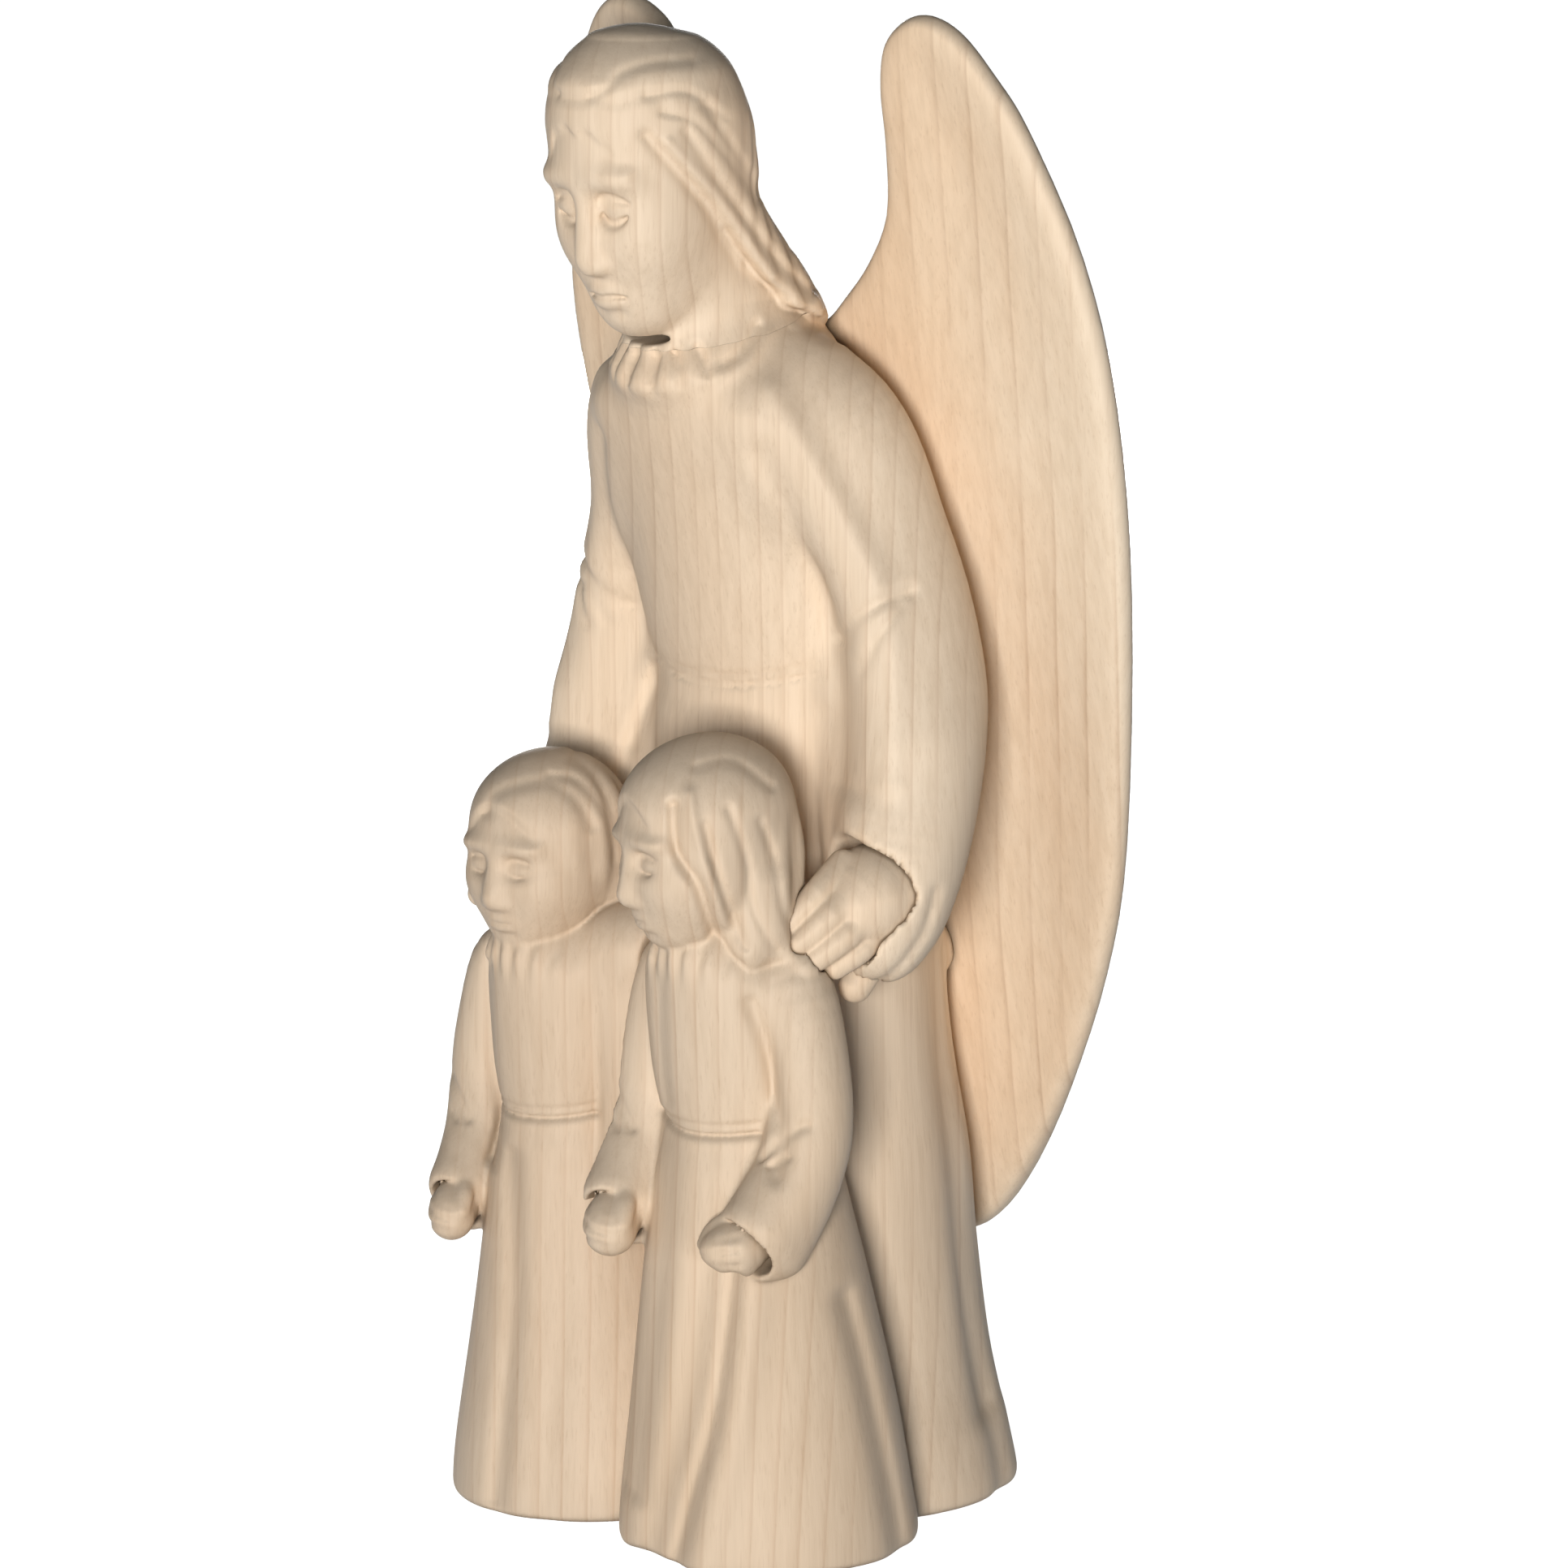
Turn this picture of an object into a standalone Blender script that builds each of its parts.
"""Guardian angel with two children: a free-standing group carved in pale wood.

The group is built the way a carver builds it, from separately carved pieces:
the angel's robe with its sleeves, the bowed head, two hands, two wings and two
children, glued on flat faces that blind dowels keep in line.

The group faces -Y, +X is the angel's left and +Z is up.  Lengths in the tables
are millimetres, measured from the middle of the angel's hem.  SHIFT moves the
whole group so that the origin is the middle of its footprint box.
"""

import math

import bmesh
import bpy
from mathutils import Matrix, Vector

MM = 0.001

# ---------------------------------------------------------------- dimensions
TOTAL_HEIGHT = 200.0  # floor to the wing tips
SHIFT = Vector((0.0, 9.95, 0.0))
GAP = 0.3  # glue line between two pieces

# The wings, and the flats they are glued to, lean forward with the angel's back.
WING_LEAN = math.radians(12.5)
WING_SWEEP = math.radians(2.9)  # each wing also turns back by this
WING_PIVOT = (0.0, 0.3, 150.0)  # a point of the wings' middle plane
WING_THICKNESS = 5.6
WING_EDGE = 2.0  # rounding of the wing's edges

CHILD_X = 17.0  # each child stands this far from the middle
BOY_HEIGHT = 0.94  # against the girl
BOY_WIDTH = 0.88
CHILD_BACK_Y = -10.0  # the flat between the children and the robe
CHILD_FLAT_TOP = 74.0
NECK_LEAN = math.radians(12.0)
NECK_SEAT = (0.0, -21.0, 159.2)  # middle of the glue face under the head

DOWEL_CHAMFER = 0.5
WING_DOWEL = (2.0, 10.0)  # radius, length
WING_DOWEL_X = 7.0
WING_DOWEL_HEIGHTS = {"lower": 72.0, "upper": 126.0}
CHILD_DOWEL = (2.0, 14.0)
CHILD_DOWEL_X = 7.5
CHILD_DOWEL_HEIGHTS = {"lower": 20.0, "upper": 58.0}
HEAD_DOWEL = (2.5, 15.0)
HOLE_CLEARANCE = 0.15  # round a dowel
HOLE_END_ROOM = 0.6  # past each end of a dowel

# Robe sections: height, y of the centre, half width, half depth in front and behind
ROBE = (
    (0.0, 0.0, 24.4, 24.4, 24.6),
    (1.8, 0.0, 26.0, 26.0, 26.2),
    (8.0, -0.2, 24.6, 24.6, 24.8),
    (20.0, -0.7, 22.3, 22.4, 23.2),
    (46.0, -2.0, 19.8, 20.2, 21.4),
    (77.0, -5.0, 19.0, 18.6, 20.0),
    (98.0, -7.4, 18.0, 15.6, 18.6),
    (111.0, -9.2, 18.6, 13.4, 17.6),
    (124.0, -11.0, 19.2, 13.8, 17.6),
    (138.0, -12.8, 19.8, 15.4, 17.6),
    (147.0, -14.6, 18.4, 16.2, 17.0),
    (153.0, -17.4, 14.2, 14.8, 17.6),
    (158.0, -19.6, 10.4, 12.4, 18.0),
    (164.0, -21.0, 8.6, 10.4, 18.0),
)

# A rib down the robe's back that carries the wings' glue faces
SPINE = (
    (0.0, 14.6, 36.0, 8.6),
    (0.0, 13.0, 44.0, 10.6),
    (0.0, 8.6, 60.0, 11.0),
    (0.0, 3.8, 84.0, 11.0),
    (0.0, -3.0, 112.0, 10.0),
)

# Head and hair sections, the same way as the robe's
HAIR = (
    (156.0, -18.4, 12.0, 8.2, 14.0),
    (163.0, -19.6, 11.3, 8.4, 12.8),
    (169.0, -22.6, 10.8, 9.4, 12.4),
    (175.0, -27.0, 11.0, 10.0, 12.2),
    (182.0, -30.0, 11.5, 12.0, 13.2),
    (188.5, -32.2, 11.5, 13.2, 13.0),
    (194.0, -32.6, 9.2, 10.6, 10.4),
    (197.4, -32.6, 5.2, 6.0, 6.0),
    (198.4, -32.6, 2.2, 2.6, 2.6),
)

# Limbs on the left side: x, y, z and radius of each station
SLEEVE = (
    (14.0, -15.0, 150.0, 7.4),
    (16.4, -13.8, 147.0, 8.0),
    (18.6, -12.4, 142.0, 8.3),
    (21.0, -11.0, 134.0, 8.7),
    (23.8, -9.6, 124.0, 9.2),
    (26.0, -9.4, 114.0, 9.5),
    (27.4, -10.6, 107.0, 9.4),
    (28.8, -13.4, 100.0, 9.1),
    (29.8, -16.0, 92.0, 8.6),
    (30.0, -18.8, 85.0, 7.8),
    (29.8, -21.0, 79.5, 6.4),
)
SLEEVE_WEB = (  # wood left between the sleeve and the robe
    (18.0, -9.8, 118.0, 6.6),
    (20.0, -10.4, 104.0, 7.4),
    (21.6, -12.2, 93.0, 6.8),
    (22.0, -14.0, 85.0, 5.4),
)
ANGEL_HAND = (
    (31.0, -14.6, 87.0, 3.4),
    (30.6, -19.0, 86.4, 4.6),
    (30.0, -24.4, 86.0, 6.3),
    (28.4, -28.6, 83.5, 5.4),
    (26.0, -31.6, 80.4, 4.0),
)
RIGHT_HAND_REACH = Vector((-1.5, -2.5, 0.5))  # the right hand lies this much further out

# Child sections, measured from the child's own middle line: height, y, half width, half depth
CHILD_ROBE = (
    (0.0, -27.0, 18.4, 18.4),
    (1.6, -27.0, 20.0, 20.0),
    (6.0, -27.2, 19.6, 19.5),
    (20.0, -27.8, 17.3, 17.2),
    (37.0, -29.4, 14.6, 14.4),
    (50.0, -30.6, 12.2, 12.0),
    (57.0, -31.0, 11.2, 11.0),
    (66.0, -31.6, 11.8, 10.8),
    (73.0, -32.6, 10.8, 9.8),
    (78.5, -34.0, 7.2, 7.0),
    (86.0, -36.0, 5.0, 5.2),
)
CHILD_ARM = (
    (8.0, -31.6, 75.0, 4.0),
    (11.0, -31.6, 73.0, 4.9),
    (13.6, -32.6, 66.0, 5.2),
    (14.6, -33.6, 58.0, 5.4),
    (14.2, -36.0, 52.0, 5.2),
    (13.4, -40.0, 47.0, 4.9),
    (12.0, -43.2, 43.5, 4.9),
)
CHILD_WEB = (0.4, 14.4, -32.0, -8.0, 71.0)  # inner x, outer x, front y, back y, top
GIRL_HEAD = ((0.0, -38.4, 95.6), (9.9, 10.7, 13.4), math.radians(12), math.radians(-22))
GIRL_HAIR = ((0.2, -35.0, 91.4), (10.6, 9.8, 13.6), math.radians(-6), 0.0)
BOY_HEAD = ((0.0, -34.9, 89.9), (9.2, 9.8, 12.7), math.radians(10), math.radians(4))
BOY_HAIR = ((0.0, -33.4, 91.2), (9.8, 10.0, 11.6), 0.0, 0.0)

# Outline of the left wing: x and height, from the inner notch round to the lower tip
WING_INNER_X = 0.2
WING_OUTLINE = (
    (WING_INNER_X, 157.6),
    (3.6, 159.2),
    (7.2, 162.2),
    (12.4, 167.0),
    (17.0, 174.0),
    (18.9, 183.0),
    (19.4, 190.6),
    (21.2, 196.2),
    (25.2, 199.0),
    (29.4, TOTAL_HEIGHT - 0.5),
    (33.6, 197.6),
    (37.8, 192.6),
    (42.2, 185.2),
    (48.1, 168.8),
    (50.0, 150.0),
    (47.5, 124.0),
    (40.4, 90.6),
    (33.4, 71.6),
    (23.8, 54.6),
    (12.4, 39.2),
    (5.4, 32.2),
    (WING_INNER_X, 30.4),
)


# ------------------------------------------------------------ shape functions
def to_scene(point):
    """A point in the tables' millimetres as scene metres."""
    return (Vector(point) + SHIFT) * MM


def smooth_table(rows, steps):
    """The rows with steps - 1 rows added in each gap, on a Catmull-Rom curve."""
    found = []
    last = len(rows) - 1
    for i in range(last):
        before, start = rows[max(i - 1, 0)], rows[i]
        end, after = rows[i + 1], rows[min(i + 2, last)]
        for step in range(steps):
            t = step / steps
            row = []
            for p, q, r, s in zip(before, start, end, after):
                bend = (2 * p - 5 * q + 4 * r - s) * t * t
                twist = (3 * q - p - 3 * r + s) * t**3
                row.append(0.5 * (2 * q + (r - p) * t + bend + twist))
            found.append(row)
    found.append(list(rows[-1]))
    return found


def add_object(name, mesh, collection):
    """A new object holding mesh, in that collection."""
    made = bpy.data.objects.new(name, mesh)
    collection.objects.link(made)
    return made


def from_bmesh(name, shape, collection):
    """A new object holding the bmesh's shape."""
    mesh = bpy.data.meshes.new(name)
    shape.to_mesh(mesh)
    shape.free()
    return add_object(name, mesh, collection)


def oval(x, y, z, half_width, front, back, count=26):
    """A level oval ring whose depth differs between the front (-Y) and the back."""
    ring = []
    for i in range(count):
        angle = 2 * math.pi * (i + 0.5) / count
        depth = back if math.sin(angle) > 0 else front
        ring.append((x + half_width * math.cos(angle), y + depth * math.sin(angle), z))
    return ring


def loft(name, rings, collection):
    """A closed skin over a stack of rings, each with the same number of points."""
    shape = bmesh.new()
    corners = [[shape.verts.new(to_scene(point)) for point in ring] for ring in rings]
    count = len(rings[0])
    for low, high in zip(corners, corners[1:]):
        for i in range(count):
            j = (i + 1) % count
            shape.faces.new((low[i], low[j], high[j], high[i]))
    shape.faces.new(list(reversed(corners[0])))
    shape.faces.new(corners[-1])
    return from_bmesh(name, shape, collection)


def rounded_end(end, inner):
    """Three more stations that close a limb's end with a dome."""
    away = (Vector(end[:3]) - Vector(inner[:3])).normalized()
    found = []
    for degrees in (32, 58, 78):
        angle = math.radians(degrees)
        place = Vector(end[:3]) + away * end[3] * math.sin(angle)
        found.append([*place, end[3] * math.cos(angle)])
    return found


def limb(name, stations, collection, grow=0.0):
    """A tapering round limb along stations of x, y, z and radius, with domed ends."""
    stations = [[x, y, z, radius + grow] for x, y, z, radius in smooth_table(stations, 2)]
    first = rounded_end(stations[0], stations[1])
    last = rounded_end(stations[-1], stations[-2])
    path = [*reversed(first), *stations, *last]
    curve = bpy.data.curves.new(name, "CURVE")
    curve.dimensions = "3D"
    curve.bevel_depth = MM
    curve.bevel_resolution = 3
    curve.use_fill_caps = True
    spline = curve.splines.new("POLY")
    spline.points.add(len(path) - 1)
    for point, (x, y, z, radius) in zip(spline.points, path):
        point.co = (*to_scene((x, y, z)), 1.0)
        point.radius = radius
    return as_mesh(add_object(name, curve, collection), collection)


def as_mesh(curve_object, collection):
    """The evaluated curve as a mesh object with welded caps; the curve is removed."""
    bpy.context.view_layer.update()
    graph = bpy.context.evaluated_depsgraph_get()
    mesh = bpy.data.meshes.new_from_object(curve_object.evaluated_get(graph))
    shape = bmesh.new()
    shape.from_mesh(mesh)
    bmesh.ops.remove_doubles(shape, verts=shape.verts, dist=1e-6)
    bmesh.ops.recalc_face_normals(shape, faces=shape.faces)
    shape.to_mesh(mesh)
    shape.free()
    name, place = curve_object.name, curve_object.matrix_world.copy()
    bpy.data.objects.remove(curve_object)
    made = add_object(name, mesh, collection)
    made.matrix_world = place
    return made


def ball(name, centre, radii, lean, turn, collection):
    """An egg, leant forward about X and then turned about Z."""
    shape = bmesh.new()
    bmesh.ops.create_uvsphere(shape, u_segments=20, v_segments=13, radius=1.0)
    place = (
        Matrix.Translation(to_scene(centre))
        @ Matrix.Rotation(turn, 4, "Z")
        @ Matrix.Rotation(lean, 4, "X")
        @ Matrix.Diagonal((*[radius * MM for radius in radii], 1.0))
    )
    bmesh.ops.transform(shape, matrix=place, verts=shape.verts)
    return from_bmesh(name, shape, collection)


def block(name, low, high, place, collection):
    """A box between two corners given in millimetres in the frame of place."""
    shape = bmesh.new()
    bmesh.ops.create_cube(shape, size=1.0)
    low, high = Vector(low) * MM, Vector(high) * MM
    box = Matrix.Translation((low + high) / 2) @ Matrix.Diagonal((*(high - low), 1.0))
    bmesh.ops.transform(shape, matrix=place @ box, verts=shape.verts)
    return from_bmesh(name, shape, collection)


def rod(name, centre, direction, radius, length, collection, chamfer=0.0):
    """A round bar centred on a point, along direction, with chamfered ends."""
    shape = bmesh.new()
    bmesh.ops.create_cone(
        shape, cap_ends=True, segments=14, radius1=radius, radius2=radius, depth=length
    )
    if chamfer:
        rims = [
            edge
            for edge in shape.edges
            if abs(edge.verts[0].co.z - edge.verts[1].co.z) < chamfer
        ]
        bmesh.ops.bevel(shape, geom=rims, offset=chamfer, segments=1, affect="EDGES")
    turn = Vector((0, 0, 1)).rotation_difference(Vector(direction)).to_matrix().to_4x4()
    place = Matrix.Translation(to_scene(centre)) @ turn @ Matrix.Scale(MM, 4)
    bmesh.ops.transform(shape, matrix=place, verts=shape.verts)
    return from_bmesh(name, shape, collection)


def mirrored(stations):
    """Stations reflected in the upright plane x = 0."""
    return [(-x, *rest) for x, *rest in stations]


def moved(stations, offset):
    """Stations moved by offset."""
    return [(*(Vector(row[:3]) + Vector(offset)), row[3]) for row in stations]


def change(target, operation, tools):
    """Joins the tools to target, or cuts them from it, and hides them as helpers."""
    for tool in tools:
        step = target.modifiers.new(f"{operation.lower()} {tool.name}", "BOOLEAN")
        step.operation = operation
        step.object = tool
        step.solver = "EXACT"
        tool.hide_render = True
        tool.display_type = "WIRE"


def wood(name, colour, roughness):
    """A pale wood as a plain Principled material."""
    made = bpy.data.materials.new(name)
    made.use_nodes = True
    shader = made.node_tree.nodes["Principled BSDF"]
    shader.inputs["Base Color"].default_value = (*colour, 1.0)
    shader.inputs["Roughness"].default_value = roughness
    shader.inputs["Metallic"].default_value = 0.0
    return made


# ------------------------------------------------------------------ the pieces
def wing_frame(side):
    """The frame of a wing: x outwards on the left wing, y through it, z up along it."""
    return (
        Matrix.Translation(to_scene(WING_PIVOT))
        @ Matrix.Rotation(WING_LEAN, 4, "X")
        @ Matrix.Rotation(side * WING_SWEEP, 4, "Z")
    )


def make_wing(name, side, collection):
    """A wing: its flat outline with rounded edges, stood in its frame."""
    curve = bpy.data.curves.new(name, "CURVE")
    curve.dimensions = "2D"
    curve.fill_mode = "BOTH"
    curve.extrude = (WING_THICKNESS / 2 - WING_EDGE) * MM
    curve.bevel_depth = WING_EDGE * MM
    curve.bevel_resolution = 1
    curve.offset = -WING_EDGE * MM
    outline = smooth_table(WING_OUTLINE, 2)
    spline = curve.splines.new("POLY")
    spline.points.add(len(outline) - 1)
    spline.use_cyclic_u = True
    for point, (x, height) in zip(spline.points, outline):
        along = (height - WING_PIVOT[2]) / math.cos(WING_LEAN)
        point.co = (side * x * MM, along * MM, 0.0, 1.0)
    flat = add_object(name, curve, collection)
    flat.matrix_world = wing_frame(side) @ Matrix.Rotation(math.pi / 2, 4, "X")
    return as_mesh(flat, collection)


def wing_dowel_places():
    """Name, middle point and direction of each wing dowel."""
    normal = Vector((0.0, math.cos(WING_LEAN), math.sin(WING_LEAN)))
    into_robe = -normal * (WING_DOWEL[1] / 2 - WING_THICKNESS * 0.1)
    for label, side in (("left", 1), ("right", -1)):
        for level, height in WING_DOWEL_HEIGHTS.items():
            y = WING_PIVOT[1] - math.tan(WING_LEAN) * (height - WING_PIVOT[2])
            middle = Vector((side * WING_DOWEL_X, y, height)) + into_robe
            yield f"wing_dowel_{label}_{level}", side, middle, normal


def child_dowel_places():
    """Name, middle point and direction of each dowel between a child and the robe."""
    for label, side in (("girl", 1), ("boy", -1)):
        for level, height in CHILD_DOWEL_HEIGHTS.items():
            middle = Vector((side * CHILD_DOWEL_X, CHILD_BACK_Y, height))
            yield f"{label}_dowel_{level}", side, middle, Vector((0.0, 1.0, 0.0))


def hole(name, middle, direction, dowel, collection):
    """The blind hole that a dowel sits in, across the two pieces it joins."""
    radius, length = dowel
    return rod(
        f"hole_{name}",
        middle,
        direction,
        radius + HOLE_CLEARANCE,
        length + 2 * HOLE_END_ROOM,
        collection,
    )


def make_child(name, side, tall, wide, head, hair, parts, helpers):
    """A child in a belted robe, hands in front, with a squared back for the glue face."""
    offset = Vector((side * CHILD_X, 0.0, 0.0))
    middle_y = CHILD_ROBE[0][1]

    def placed(y):
        return middle_y + (y - middle_y) * wide

    rings = [
        oval(offset.x, placed(y), z * tall, width * wide, depth * wide, depth * wide)
        for z, y, width, depth in smooth_table(CHILD_ROBE, 2)
    ]
    figure = loft(name, rings, parts)
    tools = []
    for arm, hand_side in (("left", 1), ("right", -1)):
        stations = [
            (hand_side * x * wide, placed(y), z * tall, radius * wide)
            for x, y, z, radius in CHILD_ARM
        ]
        tools.append(limb(f"{name}_{arm}_arm", moved(stations, offset), helpers))
    for label, (centre, radii, lean, turn) in (("head", head), ("hair", hair)):
        place = Vector(centre) + offset
        tools.append(ball(f"{name}_{label}", place, radii, lean, turn, helpers))
    inner, outer, front, back, top = CHILD_WEB
    web_x = sorted((side * inner, side * outer))
    low, high = (web_x[0], front, 0.0), (web_x[1], back, top * tall)
    origin = Matrix.Translation(to_scene((0, 0, 0)))
    tools.append(block(f"{name}_web", low, high, origin, helpers))
    change(figure, "UNION", tools)
    return figure


def main():
    for old in list(bpy.data.objects):
        bpy.data.objects.remove(old)
    parts = bpy.data.collections.new("guardian_angel")
    helpers = bpy.data.collections.new("helpers")
    for collection in (parts, helpers):
        bpy.context.scene.collection.children.link(collection)
    origin = Matrix.Translation(to_scene((0, 0, 0)))

    # Robe, torso and sleeves
    rings = [
        oval(0.0, y, z, width, front, back)
        for z, y, width, front, back in smooth_table(ROBE, 2)
    ]
    body = loft("angel_body", rings, parts)
    sleeves = {"left": SLEEVE, "right": mirrored(SLEEVE)}
    webs = {"left": SLEEVE_WEB, "right": mirrored(SLEEVE_WEB)}
    for hand in sleeves:
        sleeve = limb(f"sleeve_{hand}", sleeves[hand], helpers)
        change(body, "UNION", [sleeve, limb(f"web_{hand}", webs[hand], helpers)])
    change(body, "UNION", [limb("spine", SPINE, helpers)])

    # Bowed head with the hair down to the shoulders
    rings = [
        oval(0.0, y, z, width, front, back)
        for z, y, width, front, back in smooth_table(HAIR, 2)
    ]
    head = loft("angel_head", rings, parts)
    face = ball("face", (0, -35.2, 174.8), (9.4, 10.2, 16.6), math.radians(14), 0.0, helpers)
    neck = limb("neck", ((0, -20, 154, 8.0), (0, -27, 172, 8.0)), helpers)
    change(head, "UNION", [face, neck])

    # Wings
    wings = {"left": make_wing("wing_left", 1, parts)}
    wings["right"] = make_wing("wing_right", -1, parts)

    # Hands with their tenons, and the sockets they sit in
    hand_rows = {"left": ANGEL_HAND, "right": moved(mirrored(ANGEL_HAND), RIGHT_HAND_REACH)}
    hands = {s: limb(f"{s}_hand", rows, parts) for s, rows in hand_rows.items()}
    sockets = {
        s: limb(f"hand_room_{s}", rows, helpers, grow=GAP) for s, rows in hand_rows.items()
    }
    sleeve_rooms = {
        s: limb(f"sleeve_room_{s}", rows, helpers, grow=GAP) for s, rows in sleeves.items()
    }

    # Children
    girl = make_child("girl_figure", 1, 1.0, 1.0, GIRL_HEAD, GIRL_HAIR, parts, helpers)
    boy_head = (BOY_HEIGHT, BOY_WIDTH, BOY_HEAD, BOY_HAIR)
    boy = make_child("boy_figure", -1, *boy_head, parts, helpers)

    # Flat glue faces
    half = GAP / 2
    far = 90.0
    seat = Matrix.Translation(to_scene(NECK_SEAT)) @ Matrix.Rotation(NECK_LEAN, 4, "X")
    above_seat = block("above_seat", (-far, -far, -half), (far, far, far), seat, helpers)
    below_seat = block("below_seat", (-far, -far, -far), (far, far, half), seat, helpers)
    wing_front = -WING_THICKNESS / 2 - GAP
    wing_rooms = [
        block(f"wing_room_{label}", (-8, wing_front, -150), (70, 60, 60), frame, helpers)
        if label == "left"
        else block(f"wing_room_{label}", (-70, wing_front, -150), (8, 60, 60), frame, helpers)
        for label, frame in (("left", wing_frame(1)), ("right", wing_frame(-1)))
    ]
    front_flat = block(
        "front_flat",
        (-60, -60, -5),
        (60, CHILD_BACK_Y + half, CHILD_FLAT_TOP),
        origin,
        helpers,
    )
    behind_children = block(
        "behind_children", (-60, CHILD_BACK_Y - half, -5), (60, 40, 130), origin, helpers
    )
    left_half = block("left_half", (-half, -80, -5), (80, 20, 130), origin, helpers)
    right_half = block("right_half", (-80, -80, -5), (half, 20, 130), origin, helpers)

    change(body, "DIFFERENCE", [above_seat, *wing_rooms, front_flat, *sockets.values()])
    change(head, "DIFFERENCE", [below_seat])
    change(girl, "DIFFERENCE", [behind_children, right_half])
    change(boy, "DIFFERENCE", [behind_children, left_half])
    change(girl, "DIFFERENCE", [sleeve_rooms["left"], sockets["left"]])
    change(boy, "DIFFERENCE", [sleeve_rooms["right"], sockets["right"]])

    # Dowels and their holes
    dowels = []
    children = {1: girl, -1: boy}
    winged = {1: wings["left"], -1: wings["right"]}
    for name, side, middle, direction in wing_dowel_places():
        dowels.append(rod(name, middle, direction, *WING_DOWEL, parts, DOWEL_CHAMFER))
        cut = hole(name, middle, direction, WING_DOWEL, helpers)
        change(body, "DIFFERENCE", [cut])
        change(winged[side], "DIFFERENCE", [cut])
    for name, side, middle, direction in child_dowel_places():
        dowels.append(rod(name, middle, direction, *CHILD_DOWEL, parts, DOWEL_CHAMFER))
        cut = hole(name, middle, direction, CHILD_DOWEL, helpers)
        change(body, "DIFFERENCE", [cut])
        change(children[side], "DIFFERENCE", [cut])
    up = Vector((0.0, -math.sin(NECK_LEAN), math.cos(NECK_LEAN)))
    dowels.append(rod("head_dowel", NECK_SEAT, up, *HEAD_DOWEL, parts, DOWEL_CHAMFER))
    cut = hole("head_dowel", NECK_SEAT, up, HEAD_DOWEL, helpers)
    change(body, "DIFFERENCE", [cut])
    change(head, "DIFFERENCE", [cut])

    # Materials
    carved = wood("carved_maple", (0.80, 0.64, 0.46), 0.6)
    turned = wood("dowel_beech", (0.66, 0.47, 0.30), 0.65)
    for piece in parts.objects:
        piece.data.materials.append(turned if piece in dowels else carved)
        if piece not in dowels:
            piece.data.shade_smooth()


main()
